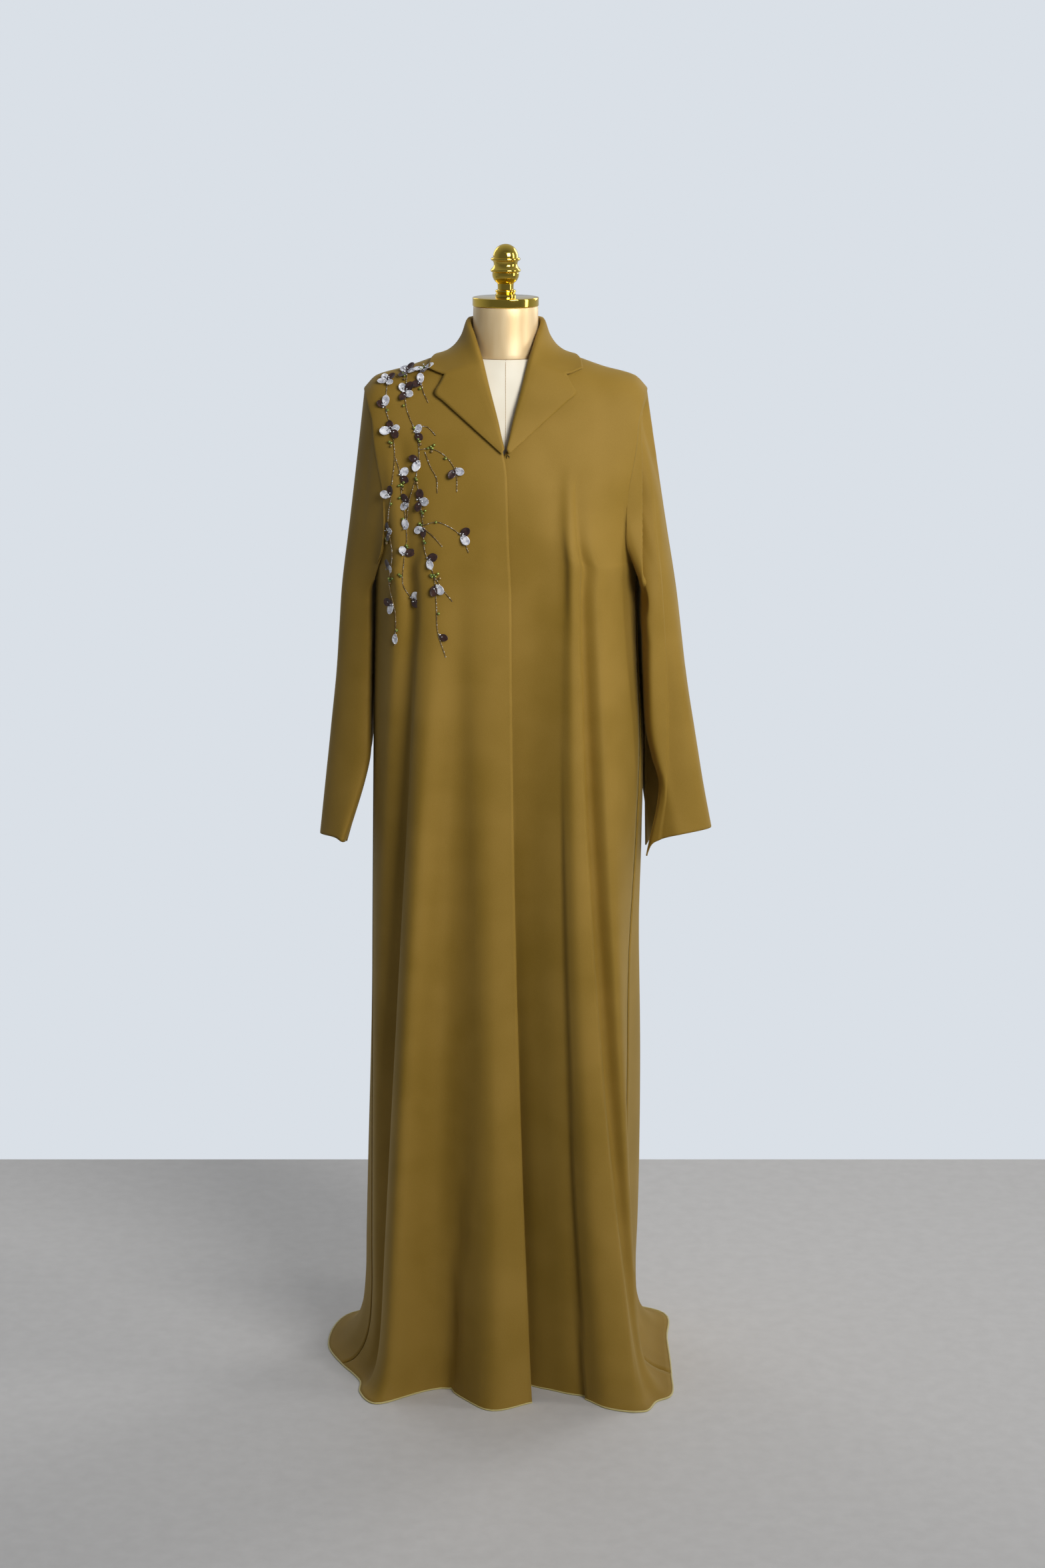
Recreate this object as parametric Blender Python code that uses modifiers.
"""Abaya on a limbless dress form.

The origin is on the floor, at the centre of the stand's base. +Z is up, the
front faces -Y, and the wearer's left is +X. All sizes are in metres.
"""

import math

import bmesh
import bpy
from mathutils import Vector

OBJECT_NAME = "abaya_on_dress_form"

# Cloth
CLOTH_THICKNESS = 0.0016
SEAM_GAP = 0.0004
ARMHOLE_GAP_TIP = 0.0010
ARMHOLE_GAP_UNDER = 0.0034
FLOOR_CLEARANCE = 0.0013

# Heights of the body
CHEST_HEIGHT = 1.200
SHOULDER_NECK_HEIGHT = 1.537
SHOULDER_NECK_X = 0.056
BACK_NECK_DROP = 0.022
BACK_DIP_START = 1.442
HEM_BEND_HEIGHT = 0.110

# How square the body's plan is: 2 is an ellipse
PLAN_POWER = 2.6

# Shoulder line, from the neck to the tip of the shoulder
SHOULDER_LINE = (
    # distance from the centre, height
    (0.000, 1.552),
    (0.056, 1.537),
    (0.100, 1.523),
    (0.140, 1.509),
    (0.185, 1.496),
    (0.203, 1.478),
)

# Depth of the worn cloth below the shoulder line
BODY_PROFILE = (
    # drop, towards the front, towards the back
    (0.000, 0.000, 0.000),
    (0.006, 0.026, 0.024),
    (0.020, 0.048, 0.045),
    (0.036, 0.060, 0.060),
    (0.060, 0.073, 0.075),
    (0.100, 0.089, 0.092),
    (0.150, 0.107, 0.105),
    (0.200, 0.122, 0.110),
    (0.250, 0.130, 0.110),
    (0.340, 0.131, 0.106),
)

# Rows of the yoke, from the chest to the shoulder seam
YOKE_ROWS = (
    # height at the neckline, neckline x, height at the armhole, armhole x, plan half width
    (1.200, 0.008, 1.200, 0.1900, 0.1900),
    (1.245, 0.006, 1.222, 0.1925, 0.1925),
    (1.268, 0.005, 1.231, 0.1860, 0.1922),
    (1.294, 0.004, 1.250, 0.1780, 0.1922),
    (1.335, 0.003, 1.290, 0.1735, 0.1940),
    (1.375, 0.001, 1.336, 0.1755, 0.2010),
    (1.404, 0.0045, 1.372, 0.1820, 0.2120),
    (1.442, 0.0130, 1.405, 0.1875, 0.2220),
    (1.482, 0.0240, 1.434, 0.1900, 0.2280),
    (1.510, 0.0325, 1.458, 0.1965, 0.2350),
    (1.523, 0.0445, 1.469, 0.2005, 0.2380),
    (1.531, 0.0530, 1.475, 0.2020, 0.2395),
    (1.537, 0.0560, 1.478, 0.2030, 0.2400),
)
UNDERARM_ROW = 1
V_BOTTOM_ROW = 6

# Fold lines of each panel, from the centre outwards. Plan places at the chest,
# at the knee and at the foot, and how far the hem runs out over the floor.
FRONT_RIGHT_FOLDS = (
    # name, chest x, rise, knee x, knee y, foot x, foot y, hem run x, hem run y
    ("centre_edge", 0.008, 0.003, 0.0165, -0.166, 0.038, -0.204, 0.000, 0.000),
    ("centre_crest", -0.026, 0.003, -0.021, -0.173, -0.022, -0.228, 0.000, -0.004),
    ("inner_valley", -0.058, 0.000, -0.089, -0.138, -0.100, -0.155, 0.000, -0.003),
    ("outer_crest", -0.098, 0.003, -0.141, -0.158, -0.176, -0.182, -0.018, -0.026),
    ("outer_flank", -0.118, 0.002, -0.158, -0.132, -0.192, -0.140, -0.026, -0.030),
    ("side_valley", -0.133, -0.006, -0.152, -0.098, -0.180, -0.100, -0.040, -0.030),
    ("side_crest", -0.156, 0.002, -0.188, -0.072, -0.196, -0.078, -0.038, -0.020),
    ("right_seam", -0.190, 0.000, -0.199, -0.030, -0.206, -0.048, -0.045, -0.018),
)
FRONT_LEFT_FOLDS = (
    # name, chest x, rise, knee x, knee y, foot x, foot y, hem run x, hem run y
    ("under_edge", -0.016, 0.000, -0.010, -0.126, 0.010, -0.150, 0.000, 0.000),
    ("centre_valley", 0.046, -0.005, 0.022, -0.128, 0.044, -0.150, 0.000, 0.000),
    ("ridge_foot", 0.080, 0.002, 0.080, -0.158, 0.112, -0.184, 0.000, -0.004),
    ("ridge_crest", 0.094, 0.011, 0.108, -0.177, 0.150, -0.214, 0.002, -0.012),
    ("ridge_edge", 0.104, 0.009, 0.137, -0.166, 0.195, -0.200, 0.010, -0.036),
    ("ridge_back", 0.110, -0.002, 0.1425, -0.147, 0.201, -0.165, 0.022, -0.036),
    ("side_crest", 0.131, 0.006, 0.162, -0.149, 0.204, -0.146, 0.040, -0.036),
    ("left_seam", 0.190, 0.000, 0.180, -0.072, 0.180, -0.066, 0.069, -0.036),
)
BACK_FOLDS = (
    # name, chest x, rise, knee x, knee y, foot x, foot y, hem run x, hem run y
    ("left_seam", 0.190, 0.000, 0.180, -0.072, 0.180, -0.066, 0.069, -0.036),
    ("left_side", 0.176, 0.000, 0.198, 0.008, 0.193, 0.030, 0.055, 0.000),
    ("left_corner", 0.156, 0.002, 0.194, 0.074, 0.190, 0.108, 0.058, 0.020),
    ("left_valley", 0.124, -0.002, 0.142, 0.100, 0.152, 0.126, 0.020, 0.050),
    ("left_crest", 0.086, 0.004, 0.098, 0.144, 0.112, 0.180, 0.008, 0.048),
    ("inner_left_valley", 0.042, 0.000, 0.046, 0.118, 0.052, 0.150, 0.000, 0.050),
    ("centre_crest", 0.000, 0.004, -0.002, 0.148, -0.004, 0.188, 0.000, 0.052),
    ("inner_right_valley", -0.044, 0.000, -0.050, 0.117, -0.058, 0.149, 0.000, 0.048),
    ("right_crest", -0.090, 0.004, -0.102, 0.142, -0.120, 0.178, -0.010, 0.046),
    ("right_valley", -0.126, -0.002, -0.146, 0.100, -0.166, 0.124, -0.020, 0.040),
    ("right_corner", -0.156, 0.002, -0.194, 0.070, -0.210, 0.098, -0.045, 0.022),
    ("right_side", -0.176, 0.000, -0.200, 0.010, -0.220, 0.012, -0.056, -0.004),
    ("right_seam", -0.190, 0.000, -0.199, -0.030, -0.206, -0.048, -0.045, -0.018),
)
FRONT_COLUMNS_PER_FOLD = 3
BACK_COLUMNS_PER_FOLD = 2
SKIRT_HEIGHTS = (1.10, 0.97, 0.82, 0.65, 0.47, 0.30, 0.19, HEM_BEND_HEIGHT)
HEM_STEPS = (0.30, 0.55, 0.78, 1.00)

# The left side swells a little between the chest and this low height
FULL_LEFT_LINES = ("left_seam", "left_side")
SIDE_FULLNESS = 0.011
SIDE_FULL_LOW = 0.660

# The left front sinks behind the right one near the closing
UNDERLAP_DEPTH = 0.0045
UNDERLAP_WIDTH = 0.055

# How far below a point the plan's width is read off the yoke's rows
PLAN_WIDTH_DROP = 0.020

# Sleeve sections. Stations run from the underseam over the front to the
# outside and round the back. The seam parts into a vent below the vent's top.
SLEEVE_STATION_COLUMNS = (0, 1, 3, 5, 11, 16, 21, 22)
SLEEVE_LEFT_SECTIONS = (
    # height, then x and y of: seam front, inner front, front, crease, outer, back,
    # inner back, seam back
    (1.190, 0.1955, 0.000, 0.1965, -0.046, 0.2070, -0.074, 0.2240, -0.066,
     0.2440, -0.034, 0.234, 0.074, 0.1910, 0.045, 0.1955, 0.000),
    (1.060, 0.2000, 0.000, 0.2005, -0.042, 0.2090, -0.071, 0.2320, -0.060,
     0.2590, -0.042, 0.246, 0.068, 0.1940, 0.045, 0.2000, 0.000),
    (0.975, 0.2055, -0.015, 0.2055, -0.046, 0.2140, -0.069, 0.2360, -0.063,
     0.2730, -0.044, 0.255, 0.062, 0.1985, 0.046, 0.2055, 0.012),
    (0.905, 0.2240, -0.052, 0.2260, -0.060, 0.2330, -0.067, 0.2440, -0.064,
     0.2850, -0.044, 0.266, 0.056, 0.2015, 0.047, 0.2060, 0.016),
)
SLEEVE_LEFT_RIM = (
    # x, y, height at each station
    (0.2065, -0.048, 0.797),
    (0.2145, -0.055, 0.8165),
    (0.2350, -0.062, 0.8275),
    (0.2560, -0.064, 0.8330),
    (0.3005, -0.030, 0.8350),
    (0.278, 0.058, 0.824),
    (0.224, 0.048, 0.808),
    (0.2075, 0.008, 0.799),
)
SLEEVE_RIGHT_SECTIONS = (
    # the same stations on the wearer's right
    (1.190, -0.1955, 0.000, -0.1940, -0.020, -0.1970, -0.031, -0.2075, -0.027,
     -0.2370, 0.004, -0.228, 0.074, -0.1910, 0.045, -0.1955, 0.000),
    (1.060, -0.1970, 0.000, -0.1970, -0.022, -0.2005, -0.034, -0.2140, -0.031,
     -0.2470, 0.002, -0.236, 0.070, -0.1885, 0.045, -0.1970, 0.000),
    (0.930, -0.2000, -0.020, -0.1995, -0.032, -0.2050, -0.041, -0.2240, -0.036,
     -0.2610, 0.000, -0.252, 0.066, -0.2060, 0.050, -0.2010, 0.012),
)
SLEEVE_RIGHT_RIM = (
    (-0.236, -0.030, 0.816),
    (-0.238, -0.040, 0.816),
    (-0.242, -0.048, 0.818),
    (-0.2500, -0.042, 0.822),
    (-0.2745, -0.006, 0.820),
    (-0.267, 0.062, 0.812),
    (-0.246, 0.050, 0.806),
    (-0.238, 0.012, 0.804),
)
SLEEVE_RIM_TABLE_HEIGHT = 0.820
SLEEVE_TOP_STEPS = (0.0, 0.30, 0.65)
SLEEVE_HEIGHTS = (1.190, 1.125, 1.060, 0.985, 0.945, 0.905)
VENT_TOP_HEIGHT = 0.980

# Collar stations from the centre back to the gorge, wearer's left
COLLAR_STATIONS = (
    # seam x, side (1 front, 2 back), roll x, y, z, edge x, y, z, sag of the fall
    (0.0000, 2, 0.0000, 0.0520, 1.5780, 0.0000, 0.0860, 1.5080, 0.004),
    (0.0290, 2, 0.0270, 0.0450, 1.5780, 0.0440, 0.0780, 1.5090, 0.005),
    (0.0480, 2, 0.0440, 0.0270, 1.5770, 0.0780, 0.0450, 1.5180, 0.010),
    (0.0560, 2, 0.0508, 0.0000, 1.5746, 0.0985, 0.0040, 1.5264, 0.016),
    (0.0530, 1, 0.0440, -0.0265, 1.5555, 0.1070, -0.0190, 1.5205, 0.010),
)
COLLAR_BEND_SHARE = 0.55
COLLAR_SEAM_RISE = 0.0014
COLLAR_SEAM_INSET = 0.0012
COLLAR_FALL_STEPS = (0.20, 0.42, 0.66, 0.84, 1.0)
COLLAR_NOTCH_STEP = 0.84
COLLAR_SAG_LEAN = 0.75
ROLL_SPREAD = 0.0035

# The gorge, where collar and lapel meet, and the two points beside its notch
GORGE_SEAM_X = 0.0415
GORGE_ROLL = (0.0325, 1.5212)
COLLAR_ROLL_END = (0.0325, 1.5236)
NOTCH = (0.0860, 1.5040)
COLLAR_POINT = (0.1100, 1.5110)
LAPEL_TIP = (0.1005, 1.4780)

# Lapel: its lower end and how it rolls over the front's edge
LAPEL_ROLL_BOTTOM = (0.0020, 1.4035)
LAPEL_EDGE_BOTTOM = (0.0050, 1.3975)
LAPEL_LIFT = 0.0042
ROLL_CLEARANCE = 0.0019
LAPEL_ROWS = 10
LAPEL_TIP_ROW = 8
LAPEL_COLUMNS = (
    # share of the way across, and share of the lift
    (0.00, 0.05),
    (0.00, 0.70),
    (0.06, 1.00),
    (0.32, 1.00),
    (0.66, 1.00),
    (1.00, 1.00),
)

# Hook at the bottom of the V
HOOK_WIRE_RADIUS = 0.0006
HOOK_X = 0.0035
HOOK_HEIGHT = 1.392
HOOK_HALF_WIDTH = 0.00175
HOOK_ROUTE = (
    # share of the half width across, rise, how far it stands out more
    (-1.0, -0.0012, 0.0),
    (-1.0, 0.0004, 0.0),
    (0.0, 0.0014, 0.0004),
    (1.0, 0.0004, 0.0),
    (1.0, -0.0012, 0.0),
)

# Dress form
TORSO_SECTIONS = (
    # height, half width, front, back
    (0.800, 0.163, 0.086, 0.098),
    (0.860, 0.169, 0.092, 0.108),
    (0.930, 0.168, 0.094, 0.106),
    (1.020, 0.148, 0.090, 0.092),
    (1.110, 0.124, 0.086, 0.080),
    (1.190, 0.134, 0.100, 0.086),
    (1.260, 0.150, 0.116, 0.094),
    (1.310, 0.157, 0.118, 0.098),
    (1.360, 0.160, 0.107, 0.098),
    (1.410, 0.166, 0.094, 0.092),
    (1.450, 0.170, 0.081, 0.080),
    (1.475, 0.172, 0.073, 0.072),
)
TORSO_SHOULDER_XS = (0.171, 0.157, 0.140, 0.120, 0.100)
TORSO_SHOULDER_DEPTH = 0.068
TORSO_TOP = (1.5225, 0.078, 0.0505, 0.0505)
TORSO_COLUMNS = 32
TORSO_SQUARENESS = 0.90
TORSO_CLEARANCE = 0.003
TORSO_LEAST_DEPTH_SHARE = 0.25
SHOULDER_REST = 0.0018

FORM_GAP = 0.0003
NECK_RADIUS_LOW = 0.0485
NECK_RADIUS_TOP = 0.0462
NECK_TOP = 1.5945
CAP_RADIUS = 0.0473
CAP_TOP = 1.6072
CAP_BEVEL = 0.0015
FINIAL_TOP = 1.6820
FINIAL_DOME_RADIUS = 0.0180
ROUND_STEPS = 28

POLE_RADIUS = 0.0115
POLE_FLANGE_RADIUS = 0.030
BASE_RADIUS = 0.130
BASE_THICKNESS = 0.012
BASE_EDGE = 0.004

# Materials: colour, roughness, metallic
FINISHES = {
    "cloth": ((0.215, 0.135, 0.035), 0.75, 0.0),
    "hook": ((0.020, 0.018, 0.015), 0.35, 0.6),
    "bust_cloth": ((0.800, 0.730, 0.600), 0.80, 0.0),
    "neck_satin": ((0.640, 0.430, 0.250), 0.35, 0.1),
    "polished_gold": ((0.800, 0.540, 0.120), 0.12, 1.0),
    "stand_metal": ((0.780, 0.560, 0.200), 0.25, 1.0),
}


def clear_scene():
    for thing in list(bpy.data.objects):
        bpy.data.objects.remove(thing, do_unlink=True)


def make_collection(name):
    collection = bpy.data.collections.new(name)
    bpy.context.scene.collection.children.link(collection)
    return collection


def make_material(name):
    colour, roughness, metallic = FINISHES[name]
    material = bpy.data.materials.new(name)
    material.use_nodes = True
    shader = material.node_tree.nodes["Principled BSDF"]
    shader.inputs["Base Color"].default_value = (*colour, 1.0)
    shader.inputs["Roughness"].default_value = roughness
    shader.inputs["Metallic"].default_value = metallic
    return material


def between(table, at, column):
    """Straight-line value of a table's column, by its first column."""
    if at <= table[0][0]:
        return table[0][column]
    for low, high in zip(table, table[1:]):
        if at <= high[0]:
            share = (at - low[0]) / (high[0] - low[0])
            return low[column] + share * (high[column] - low[column])
    return table[-1][column]


def blend(a, b, share):
    return a + (b - a) * share


def ease(share):
    share = min(max(share, 0.0), 1.0)
    return share * share * (3.0 - 2.0 * share)


def curve_point(before, start, end, after, share):
    """Point on a smooth curve between start and end, with even speed at uneven spacing."""
    def knot(a, b):
        return max((b - a).length ** 0.5, 1e-4)

    t1 = knot(before, start)
    t2 = t1 + knot(start, end)
    t3 = t2 + knot(end, after)
    t = blend(t1, t2, share)
    a1 = before * ((t1 - t) / t1) + start * (t / t1)
    a2 = start * ((t2 - t) / (t2 - t1)) + end * ((t - t1) / (t2 - t1))
    a3 = end * ((t3 - t) / (t3 - t2)) + after * ((t - t2) / (t3 - t2))
    b1 = a1 * ((t2 - t) / t2) + a2 * (t / t2)
    b2 = a2 * ((t3 - t) / (t3 - t1)) + a3 * ((t - t1) / (t3 - t1))
    return b1 * ((t2 - t) / (t2 - t1)) + b2 * ((t - t1) / (t2 - t1))


def smooth_through(stations, counts, before=None, after=None):
    """Points on one smooth curve through stations, with counts[i] steps in span i.

    before and after are the neighbouring piece's stations, so that the two
    pieces run on smoothly at their seam.
    """
    first = before or stations[0] * 2.0 - stations[1]
    last = after or stations[-1] * 2.0 - stations[-2]
    padded = [first, *stations, last]
    points = []
    for span, count in enumerate(counts):
        for step in range(count):
            share = step / count
            points.append(curve_point(*padded[span:span + 4], share))
    points.append(stations[-1].copy())
    return points


def plan_across(x, half_width):
    """How much of the full depth the plan has at x."""
    ratio = min(abs(x) / half_width, 1.0)
    return max(1.0 - ratio ** PLAN_POWER, 0.0) ** (1.0 / PLAN_POWER)


def shoulder_height(x):
    return between(SHOULDER_LINE, abs(x), 1)


def back_neck_height(x):
    """Top edge of the back, which dips between the sides of the neck."""
    if abs(x) >= SHOULDER_NECK_X:
        return shoulder_height(x)
    return SHOULDER_NECK_HEIGHT - BACK_NECK_DROP * (1.0 - (x / SHOULDER_NECK_X) ** 2)


def body_depth(x, height, half_width, side):
    """Depth of the worn cloth at a place; side is 1 for the front and 2 for the back."""
    drop = shoulder_height(x) - height
    return between(BODY_PROFILE, max(drop, 0.0), side) * plan_across(x, half_width)


def front_surface(x, height, lift):
    """Point of the front's surface above the chest, moved out by lift."""
    row_half_width = between(
        [(row[2], row[4]) for row in YOKE_ROWS], height - PLAN_WIDTH_DROP, 1)
    drop = shoulder_height(x) + lift - height
    depth = between(BODY_PROFILE, max(drop, 0.0), 1) * plan_across(x, row_half_width)
    return Vector((x, -depth - lift, height))


def fold_place(fold, height):
    """Plan place of a fold line below the chest."""
    chest_x, rise, knee_x, knee_y, foot_x, foot_y = fold[1:7]
    is_back = knee_y > 0.0 or fold[0] in ("left_seam", "right_seam")
    direction = 1.0 if is_back else -1.0
    side = 2 if is_back else 1
    chest_y = direction * (body_depth(chest_x, CHEST_HEIGHT, YOKE_ROWS[0][4], side) + rise)
    drop = (CHEST_HEIGHT - height) / CHEST_HEIGHT
    at_chest = (1.0 - drop) * (1.0 - 2.0 * drop)
    at_knee = 4.0 * drop * (1.0 - drop)
    at_foot = drop * (2.0 * drop - 1.0)
    x = chest_x * at_chest + knee_x * at_knee + foot_x * at_foot
    y = chest_y * at_chest + knee_y * at_knee + foot_y * at_foot
    if fold[0] in FULL_LEFT_LINES and SIDE_FULL_LOW < height:
        along = (CHEST_HEIGHT - height) / (CHEST_HEIGHT - SIDE_FULL_LOW)
        x += SIDE_FULLNESS * math.sin(math.pi * along) ** 2
    return Vector((x, y, height))


def fold_neighbours(folds):
    """The next fold lines past the side seams, which belong to the neighbouring panels."""
    if folds is FRONT_RIGHT_FOLDS:
        return None, BACK_FOLDS[-2]
    if folds is FRONT_LEFT_FOLDS:
        return None, BACK_FOLDS[1]
    return FRONT_LEFT_FOLDS[-2], FRONT_RIGHT_FOLDS[-2]


def panel_row(folds, counts, place_of):
    """One row across a panel, through the places of its fold lines."""
    before, after = (fold and place_of(fold) for fold in fold_neighbours(folds))
    return smooth_through([place_of(fold) for fold in folds], counts, before, after)


def skirt_row(folds, height, counts):
    return panel_row(folds, counts, lambda fold: fold_place(fold, height))


def hem_row(folds, step, counts):
    """Row on the way down to the floor: the cloth bends out along each line's hem run."""
    height = FLOOR_CLEARANCE + (HEM_BEND_HEIGHT - FLOOR_CLEARANCE) * (1.0 - step) ** 2

    def place_of(fold):
        run = Vector((fold[7], fold[8], 0.0)) * step * step
        return fold_place(fold, height) + run

    return panel_row(folds, counts, place_of)


def underlap(x, edge_x):
    """How far the left front sinks behind the right front near the closing."""
    return UNDERLAP_DEPTH * (1.0 - ease((x - edge_x) / UNDERLAP_WIDTH))


def front_panel_grid(folds, mirror):
    """Rows from the shoulder seam to the hem; mirror is -1 on the wearer's right."""
    counts = [FRONT_COLUMNS_PER_FOLD] * (len(folds) - 1)
    chest = skirt_row(folds, CHEST_HEIGHT, counts)
    start_x, end_x = chest[0].x, chest[-1].x
    shares = [(point.x - start_x) / (end_x - start_x) for point in chest]
    is_under = mirror > 0
    rows = []
    for index in range(len(YOKE_ROWS) - 1, 0, -1):
        neck_z, neck_x, arm_z, arm_x, half_width = YOKE_ROWS[index]
        inner_x = mirror * neck_x
        if index < V_BOTTOM_ROW:
            inner_x = start_x if is_under else neck_x
        rise_share = ease((neck_z - CHEST_HEIGHT) / (YOKE_ROWS[V_BOTTOM_ROW][0] - CHEST_HEIGHT))
        inner_drop = shoulder_height(inner_x) - neck_z
        outer_drop = shoulder_height(arm_x) - arm_z
        row = []
        for share, point in zip(shares, chest):
            x = blend(inner_x, mirror * arm_x, share)
            z = shoulder_height(x) - blend(inner_drop, outer_drop, share)
            y = -body_depth(x, z, half_width, 1)
            chest_rise = point.y + body_depth(point.x, CHEST_HEIGHT, YOKE_ROWS[0][4], 1)
            y += chest_rise * (1.0 - rise_share)
            if is_under and index <= V_BOTTOM_ROW:
                y += underlap(x, start_x)
            row.append(Vector((x, y, z)))
        rows.append(row)
    heights = (CHEST_HEIGHT, *SKIRT_HEIGHTS)
    rows.extend(skirt_row(folds, height, counts) for height in heights)
    if is_under:
        for point in rows[len(YOKE_ROWS) - 1]:
            point.y += underlap(point.x, start_x)
    rows.extend(hem_row(folds, step, counts) for step in HEM_STEPS)
    return rows


def back_panel_grid():
    counts = [BACK_COLUMNS_PER_FOLD] * (len(BACK_FOLDS) - 1)
    chest = skirt_row(BACK_FOLDS, CHEST_HEIGHT, counts)
    chest_x = YOKE_ROWS[0][3]
    rows = []
    for index in range(len(YOKE_ROWS) - 1, 0, -1):
        neck_z, _, arm_z, arm_x, half_width = YOKE_ROWS[index]
        rise_share = ease((neck_z - CHEST_HEIGHT) / (YOKE_ROWS[V_BOTTOM_ROW][0] - CHEST_HEIGHT))
        dip = max(neck_z - BACK_DIP_START, 0.0) / (SHOULDER_NECK_HEIGHT - BACK_DIP_START)
        centre_drop = SHOULDER_NECK_HEIGHT - BACK_NECK_DROP * (1.0 - dip) - neck_z
        outer_drop = shoulder_height(arm_x) - arm_z
        row = []
        for number, point in enumerate(chest):
            even_share = 1.0 - 2.0 * number / (len(chest) - 1)
            share = blend(point.x / chest_x, even_share, rise_share)
            x = share * arm_x
            z = back_neck_height(x) - blend(centre_drop, outer_drop, abs(share))
            rise = point.y - body_depth(point.x, CHEST_HEIGHT, chest_x, 2)
            y = body_depth(x, z, half_width, 2) + rise * (1.0 - rise_share)
            row.append(Vector((x, y, z)))
        rows.append(row)
    heights = (CHEST_HEIGHT, *SKIRT_HEIGHTS)
    rows.extend(skirt_row(BACK_FOLDS, height, counts) for height in heights)
    rows.extend(hem_row(BACK_FOLDS, step, counts) for step in HEM_STEPS)
    return rows


def armhole_loop(front_rows, back_rows, back_column):
    """The armhole's edge from the underarm over the front to the tip and down the back."""
    underarm = len(YOKE_ROWS) - 1 - UNDERARM_ROW
    front = [front_rows[index][-1].copy() for index in range(underarm, -1, -1)]
    back = [back_rows[index][back_column].copy() for index in range(1, underarm)]
    return front + back + [front[0].copy()]


def sleeve_ring(stations):
    columns = SLEEVE_STATION_COLUMNS
    counts = [high - low for low, high in zip(columns, columns[1:])]
    return smooth_through(stations, counts)


def sleeve_stations(sections, rim, height):
    """Stations of a sleeve section at a height, between the named sections and the rim."""
    rim_row = (SLEEVE_RIM_TABLE_HEIGHT, *[value for place in rim for value in place[:2]])
    table = sorted([*sections, rim_row])
    values = [between(table, height, column) for column in range(1, len(rim_row))]
    if height >= VENT_TOP_HEIGHT:
        seam = [(a + b) / 2.0 for a, b in zip(values[:2], values[-2:])]
        values[:2] = values[-2:] = seam
    return [Vector((x, y, height)) for x, y in zip(values[::2], values[1::2])]


def sleeve_grid(armhole, sections, rim):
    first = sleeve_ring(sleeve_stations(sections, rim, SLEEVE_HEIGHTS[0]))
    edge = [clear_of_armhole(point, armhole) for point in armhole]
    rows = []
    for step in SLEEVE_TOP_STEPS:
        rows.append([top.lerp(low, step) for top, low in zip(edge, first)])
    for height in SLEEVE_HEIGHTS:
        rows.append(sleeve_ring(sleeve_stations(sections, rim, height)))
    rows.append(sleeve_ring([Vector(place) for place in rim]))
    return rows


def clear_of_armhole(point, armhole):
    """Sleeve's edge just outside the armhole, further out where both hang down at the underarm."""
    underarm, tip = armhole[0].z, max(place.z for place in armhole)
    gap = blend(ARMHOLE_GAP_UNDER, ARMHOLE_GAP_TIP, (point.z - underarm) / (tip - underarm))
    return point + Vector((math.copysign(gap, point.x), 0.0, -SEAM_GAP))


def pull_in(point, neighbour, gap):
    return point + (neighbour - point).normalized() * gap


def trim_edges(rows, sides, top=True):
    """Draw the panel back from its seams, so that pieces stay apart."""
    if top:
        rows[0] = [pull_in(a, b, SEAM_GAP) for a, b in zip(rows[0], rows[1])]
    for row in rows:
        if "start" in sides:
            row[0] = pull_in(row[0], row[1], SEAM_GAP)
        if "end" in sides:
            row[-1] = pull_in(row[-1], row[-2], SEAM_GAP)
    return rows


def grid_mesh(name, rows):
    """Mesh of one open sheet, welded where its two ends meet."""
    sheet = bmesh.new()
    verts = [[sheet.verts.new(point) for point in row] for row in rows]
    for upper, lower in zip(verts, verts[1:]):
        for i in range(len(upper) - 1):
            sheet.faces.new((upper[i], lower[i], lower[i + 1], upper[i + 1]))
    bmesh.ops.remove_doubles(sheet, verts=sheet.verts, dist=0.00001)
    bmesh.ops.recalc_face_normals(sheet, faces=sheet.faces)
    mesh = bpy.data.meshes.new(name)
    sheet.to_mesh(mesh)
    sheet.free()
    mesh.shade_smooth()
    return mesh


def add_object(name, data, material, collection):
    thing = bpy.data.objects.new(name, data)
    data.materials.append(material)
    collection.objects.link(thing)
    return thing


def cloth_piece(name, rows, material, collection):
    piece = add_object(name, grid_mesh(name, rows), material, collection)
    wall = piece.modifiers.new("wall", "SOLIDIFY")
    wall.thickness = CLOTH_THICKNESS
    wall.offset = 0.0
    wall.use_even_offset = True
    return piece


def neckline():
    """The front's neckline from the bottom of the V to the shoulder: height, x."""
    return [row[:2] for row in YOKE_ROWS[V_BOTTOM_ROW:]]


def neck_seam(x, side):
    """Point just above the neckline, where the collar is sewn on."""
    if side == 1:
        height = between([(row_x, row_z) for row_z, row_x in neckline()], x, 1)
    else:
        height = back_neck_height(x)
    depth = body_depth(x, height, YOKE_ROWS[-1][4], side)
    seam = Vector((x, -depth if side == 1 else depth, 0.0))
    inset = seam - seam.normalized() * COLLAR_SEAM_INSET
    return inset + Vector((0.0, 0.0, height + COLLAR_SEAM_RISE))


def collar_column(station):
    """Stand, roll and fall at one station."""
    seam_x, side, roll_x, roll_y, roll_z, edge_x, edge_y, edge_z, sag = station
    seam = neck_seam(seam_x, side)
    roll = Vector((roll_x, roll_y, roll_z))
    edge = Vector((edge_x, edge_y, edge_z))
    outward = Vector((roll.x, roll.y, 0.0)).normalized()
    column = [seam, seam.lerp(roll, COLLAR_BEND_SHARE), roll, roll + outward * ROLL_SPREAD]
    for step in COLLAR_FALL_STEPS:
        place = roll.lerp(edge, step) + outward * (ROLL_SPREAD * (1.0 - step) ** 0.5)
        place.z -= sag * math.sin(math.pi * step ** COLLAR_SAG_LEAN)
        column.append(place)
    return column


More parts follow.
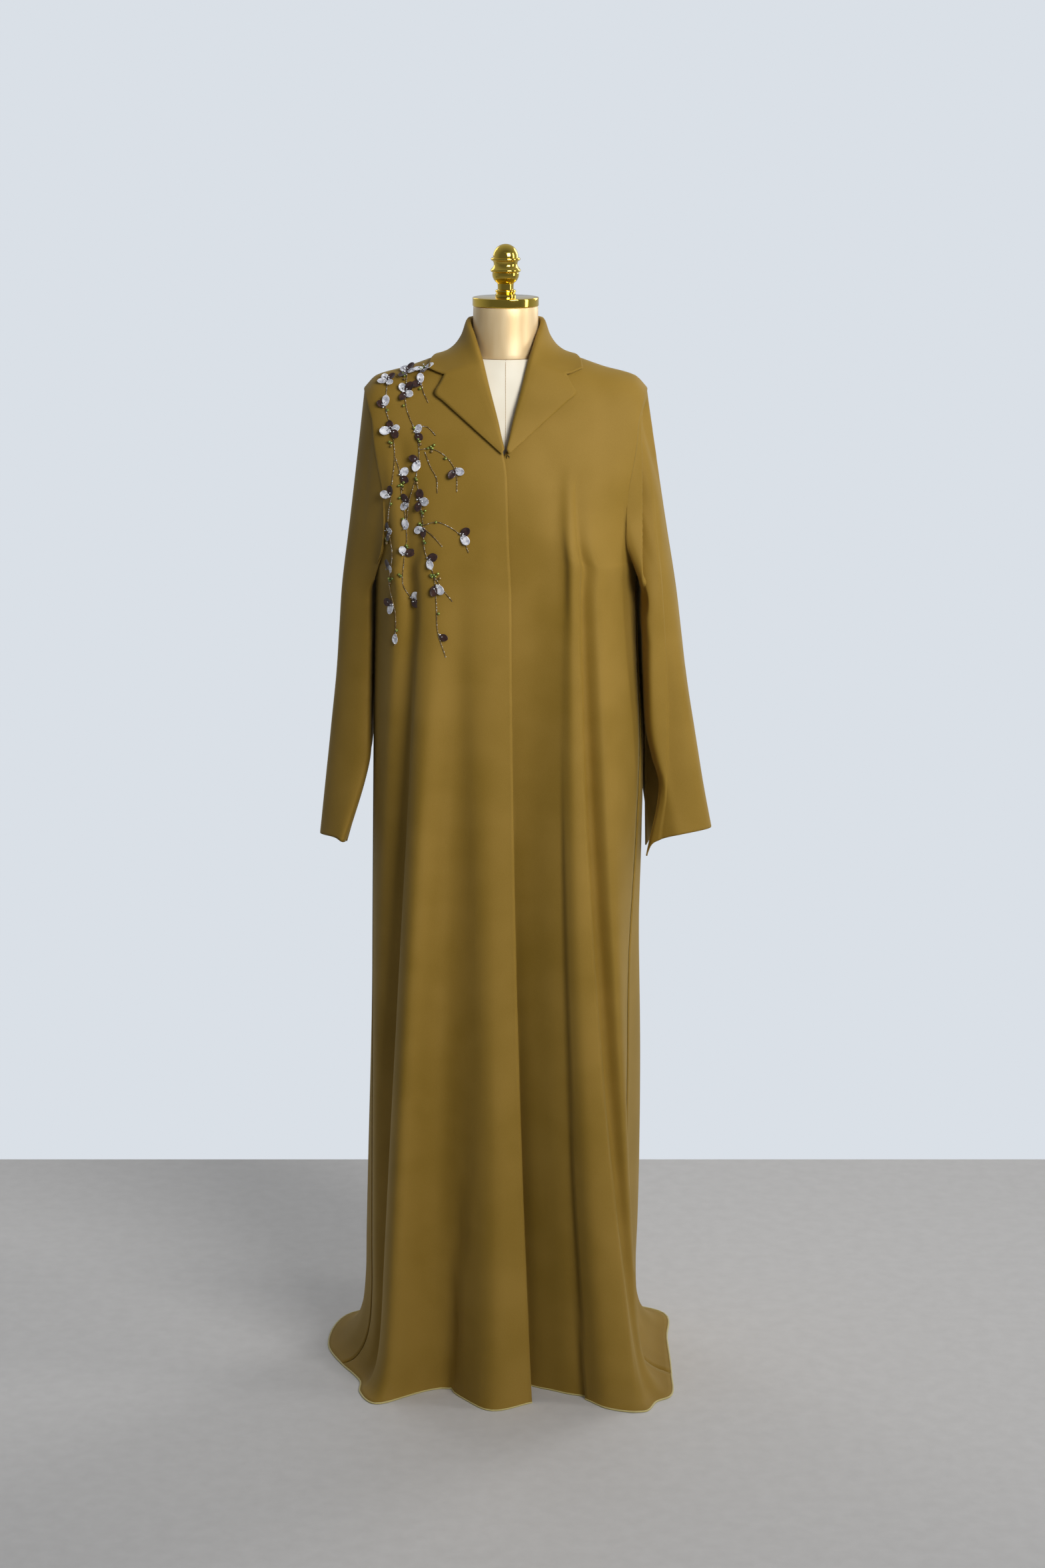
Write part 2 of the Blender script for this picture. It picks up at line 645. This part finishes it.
def gorge_column():
    """The collar's front end, which lies on the front beside the lapel."""
    roll = Vector(COLLAR_ROLL_END)
    notch = Vector(NOTCH)
    point = Vector(COLLAR_POINT)
    seam = neck_seam(GORGE_SEAM_X, 1)
    turned = front_surface(roll.x, roll.y, LAPEL_LIFT * LAPEL_COLUMNS[1][1])
    over = front_surface(roll.x + ROLL_SPREAD / 3.0, roll.y, LAPEL_LIFT)
    column = [seam, seam.lerp(turned, COLLAR_BEND_SHARE), turned, over]
    for step in COLLAR_FALL_STEPS:
        if step <= COLLAR_NOTCH_STEP:
            place = roll.lerp(notch, step / COLLAR_NOTCH_STEP)
        else:
            place = notch.lerp(point, (step - COLLAR_NOTCH_STEP) / (1.0 - COLLAR_NOTCH_STEP))
        column.append(front_surface(place.x, place.y + SEAM_GAP, LAPEL_LIFT))
    return column


def collar_grid():
    """Rows run round the neck, from the wearer's right gorge to the left one."""
    left = [collar_column(station) for station in COLLAR_STATIONS] + [gorge_column()]
    right = [[Vector((-place.x, place.y, place.z)) for place in column] for column in left]
    columns = right[::-1] + left[1:]
    counts = [2] * (len(columns) - 1)
    return [smooth_through(list(row), counts) for row in zip(*columns)]


def lapel_grid(mirror):
    """Rows from the bottom of the V to the gorge, across from the roll line to the edge."""
    roll_bottom = Vector(LAPEL_ROLL_BOTTOM)
    gorge_roll = Vector(GORGE_ROLL)
    edge_bottom = Vector(LAPEL_EDGE_BOTTOM)
    tip = Vector(LAPEL_TIP)
    notch = Vector(NOTCH)
    rows = []
    for number in range(LAPEL_ROWS + 1):
        roll = roll_bottom.lerp(gorge_roll, number / LAPEL_ROWS)
        roll.x = min(roll.x, between(neckline(), roll.y, 1) - ROLL_CLEARANCE)
        if number <= LAPEL_TIP_ROW:
            edge = edge_bottom.lerp(tip, number / LAPEL_TIP_ROW)
        else:
            edge = tip.lerp(notch, (number - LAPEL_TIP_ROW) / (LAPEL_ROWS - LAPEL_TIP_ROW))
        row = []
        for across, lift_share in LAPEL_COLUMNS:
            place = roll.lerp(edge, across)
            point = front_surface(place.x, place.y - SEAM_GAP, LAPEL_LIFT * lift_share)
            point.x *= mirror
            row.append(point)
        rows.append(row)
    return rows


def torso_ring(height, half_width, front, back):
    """One level of the bust: an oval kept inside the worn cloth."""
    plan_half_width = between([(row[2], row[4]) for row in YOKE_ROWS], height, 1)
    points = []
    for step in range(TORSO_COLUMNS):
        angle = 2.0 * math.pi * step / TORSO_COLUMNS
        across = math.copysign(abs(math.sin(angle)) ** TORSO_SQUARENESS, math.sin(angle))
        along = math.copysign(abs(math.cos(angle)) ** TORSO_SQUARENESS, math.cos(angle))
        side, full_depth = (1, front) if along > 0.0 else (2, back)
        x = half_width * across
        depth = full_depth * abs(along)
        room = body_depth(x, height + SHOULDER_REST, plan_half_width, side) - TORSO_CLEARANCE
        depth = min(depth, max(room, depth * TORSO_LEAST_DEPTH_SHARE))
        points.append(Vector((x, -math.copysign(depth, along), height)))
    return points


def make_torso(material, collection):
    rings = [torso_ring(*section) for section in TORSO_SECTIONS]
    for x in TORSO_SHOULDER_XS:
        height = shoulder_height(x) - SHOULDER_REST
        rings.append(torso_ring(height, x, TORSO_SHOULDER_DEPTH, TORSO_SHOULDER_DEPTH))
    rings.append(torso_ring(*TORSO_TOP))
    solid = bmesh.new()
    verts = [[solid.verts.new(point) for point in ring] for ring in rings]
    for lower, upper in zip(verts, verts[1:]):
        for i in range(TORSO_COLUMNS):
            j = (i + 1) % TORSO_COLUMNS
            solid.faces.new((lower[i], lower[j], upper[j], upper[i]))
    solid.faces.new(verts[0])
    solid.faces.new(verts[-1])
    bmesh.ops.recalc_face_normals(solid, faces=solid.faces)
    mesh = bpy.data.meshes.new("form_torso")
    solid.to_mesh(mesh)
    solid.free()
    mesh.shade_smooth()
    mesh.set_sharp_from_angle(angle=math.radians(40))
    return add_object("form_torso", mesh, material, collection)


def arc(centre_r, centre_z, radius, start_deg, end_deg, steps):
    """Points of a round stretch of a profile; 90 degrees is up, 0 is out."""
    points = []
    for step in range(steps + 1):
        angle = math.radians(blend(start_deg, end_deg, step / steps))
        points.append((centre_r + radius * math.cos(angle), centre_z + radius * math.sin(angle)))
    return points


def turned_piece(name, profile, material, collection):
    """Turn a profile, listed from top to bottom, about the vertical axis."""
    mesh = bpy.data.meshes.new(name)
    verts = [(radius, 0.0, height) for radius, height in profile]
    edges = [(i, i + 1) for i in range(len(verts) - 1)]
    mesh.from_pydata(verts, edges, [])
    piece = add_object(name, mesh, material, collection)
    screw = piece.modifiers.new("turn", "SCREW")
    screw.steps = ROUND_STEPS
    screw.render_steps = ROUND_STEPS
    screw.use_merge_vertices = True
    screw.merge_threshold = 0.00001
    screw.use_smooth_shade = True
    return piece


def neck_profile():
    low = TORSO_TOP[0] + FORM_GAP
    middle = blend(low, NECK_TOP, 0.5)
    return [
        (0.0, NECK_TOP),
        (NECK_RADIUS_TOP, NECK_TOP),
        (blend(NECK_RADIUS_TOP, NECK_RADIUS_LOW, 0.35), middle),
        (NECK_RADIUS_LOW, low),
        (0.0, low),
    ]


def cap_profile():
    low = NECK_TOP + FORM_GAP
    top = arc(CAP_RADIUS - CAP_BEVEL, CAP_TOP - CAP_BEVEL, CAP_BEVEL, 90, 0, 3)
    bottom = arc(CAP_RADIUS - CAP_BEVEL, low + CAP_BEVEL, CAP_BEVEL, 0, -90, 3)
    return [(0.0, CAP_TOP), *top, *bottom, (0.0, low)]


def finial_profile():
    """Dome, two rings with a waist between them, a bowl, a stem and a foot."""
    low = CAP_TOP + FORM_GAP
    dome = arc(0.0, FINIAL_TOP - FINIAL_DOME_RADIUS, FINIAL_DOME_RADIUS, 90, 0, 6)[1:]
    return [
        (0.0, FINIAL_TOP),
        *dome,
        *arc(0.0185, low + 0.0525, 0.0026, 70, -70, 3),
        (0.0172, low + 0.0470),
        (0.0185, low + 0.0425),
        *arc(0.0190, low + 0.0370, 0.0026, 70, -70, 3),
        (0.0190, low + 0.0310),
        (0.0162, low + 0.0240),
        (0.0122, low + 0.0195),
        (0.0115, low + 0.0120),
        *arc(0.0128, low + 0.0070, 0.0024, 80, -60, 3),
        (0.0150, low + 0.0030),
        (0.0150, low),
        (0.0, low),
    ]


def pole_profile():
    top = TORSO_SECTIONS[0][0] - FORM_GAP
    low = BASE_THICKNESS + FORM_GAP
    return [
        (0.0, top),
        (POLE_FLANGE_RADIUS, top),
        (POLE_FLANGE_RADIUS, top - 0.004),
        (POLE_RADIUS, top - 0.006),
        (POLE_RADIUS, low + 0.012),
        (0.021, low + 0.005),
        (0.021, low),
        (0.0, low),
    ]


def base_profile():
    rim = arc(BASE_RADIUS - BASE_EDGE, BASE_THICKNESS - BASE_EDGE, BASE_EDGE, 90, 0, 4)
    return [(0.0, BASE_THICKNESS), *rim, (BASE_RADIUS, 0.0), (0.0, 0.0)]


def make_hook(material, collection):
    """A bent wire that closes the fronts at the bottom of the V."""
    sunk = underlap(HOOK_X, FRONT_LEFT_FOLDS[0][1])
    stand_off = CLOTH_THICKNESS / 2.0 + SEAM_GAP + HOOK_WIRE_RADIUS
    out = front_surface(HOOK_X, HOOK_HEIGHT, 0.0).y + sunk - stand_off
    route = [(HOOK_X + across * HOOK_HALF_WIDTH, out - more, HOOK_HEIGHT + rise)
             for across, rise, more in HOOK_ROUTE]
    curve = bpy.data.curves.new("front_hook", "CURVE")
    curve.dimensions = "3D"
    curve.bevel_depth = HOOK_WIRE_RADIUS
    curve.bevel_resolution = 1
    curve.use_fill_caps = True
    spline = curve.splines.new("POLY")
    spline.points.add(len(route) - 1)
    for point, place in zip(spline.points, route):
        point.co = (*place, 1.0)
    return add_object("front_hook", curve, material, collection)


def build_garment(collection):
    cloth = make_material("cloth")
    right = front_panel_grid(FRONT_RIGHT_FOLDS, -1.0)
    left = front_panel_grid(FRONT_LEFT_FOLDS, 1.0)
    back = back_panel_grid()
    armhole_right = armhole_loop(right, back, -1)
    armhole_left = armhole_loop(left, back, 0)
    cloth_piece("front_right", trim_edges(right, ("end",)), cloth, collection)
    cloth_piece("front_left", trim_edges(left, ("end",)), cloth, collection)
    cloth_piece("back", trim_edges(back, ("start", "end")), cloth, collection)
    sleeve_right = sleeve_grid(armhole_right, SLEEVE_RIGHT_SECTIONS, SLEEVE_RIGHT_RIM)
    sleeve_left = sleeve_grid(armhole_left, SLEEVE_LEFT_SECTIONS, SLEEVE_LEFT_RIM)
    cloth_piece("sleeve_right", sleeve_right, cloth, collection)
    cloth_piece("sleeve_left", sleeve_left, cloth, collection)
    cloth_piece("collar", collar_grid(), cloth, collection)
    cloth_piece("lapel_right", lapel_grid(-1.0), cloth, collection)
    cloth_piece("lapel_left", lapel_grid(1.0), cloth, collection)
    make_hook(make_material("hook"), collection)


def build_dress_form(collection):
    gold = make_material("polished_gold")
    metal = make_material("stand_metal")
    make_torso(make_material("bust_cloth"), collection)
    turned_piece("form_neck", neck_profile(), make_material("neck_satin"), collection)
    turned_piece("form_cap", cap_profile(), gold, collection)
    turned_piece("form_finial", finial_profile(), gold, collection)
    turned_piece("stand_pole", pole_profile(), metal, collection)
    turned_piece("stand_base", base_profile(), metal, collection)


def main():
    clear_scene()
    collection = make_collection(OBJECT_NAME)
    build_garment(collection)
    build_dress_form(collection)


main()
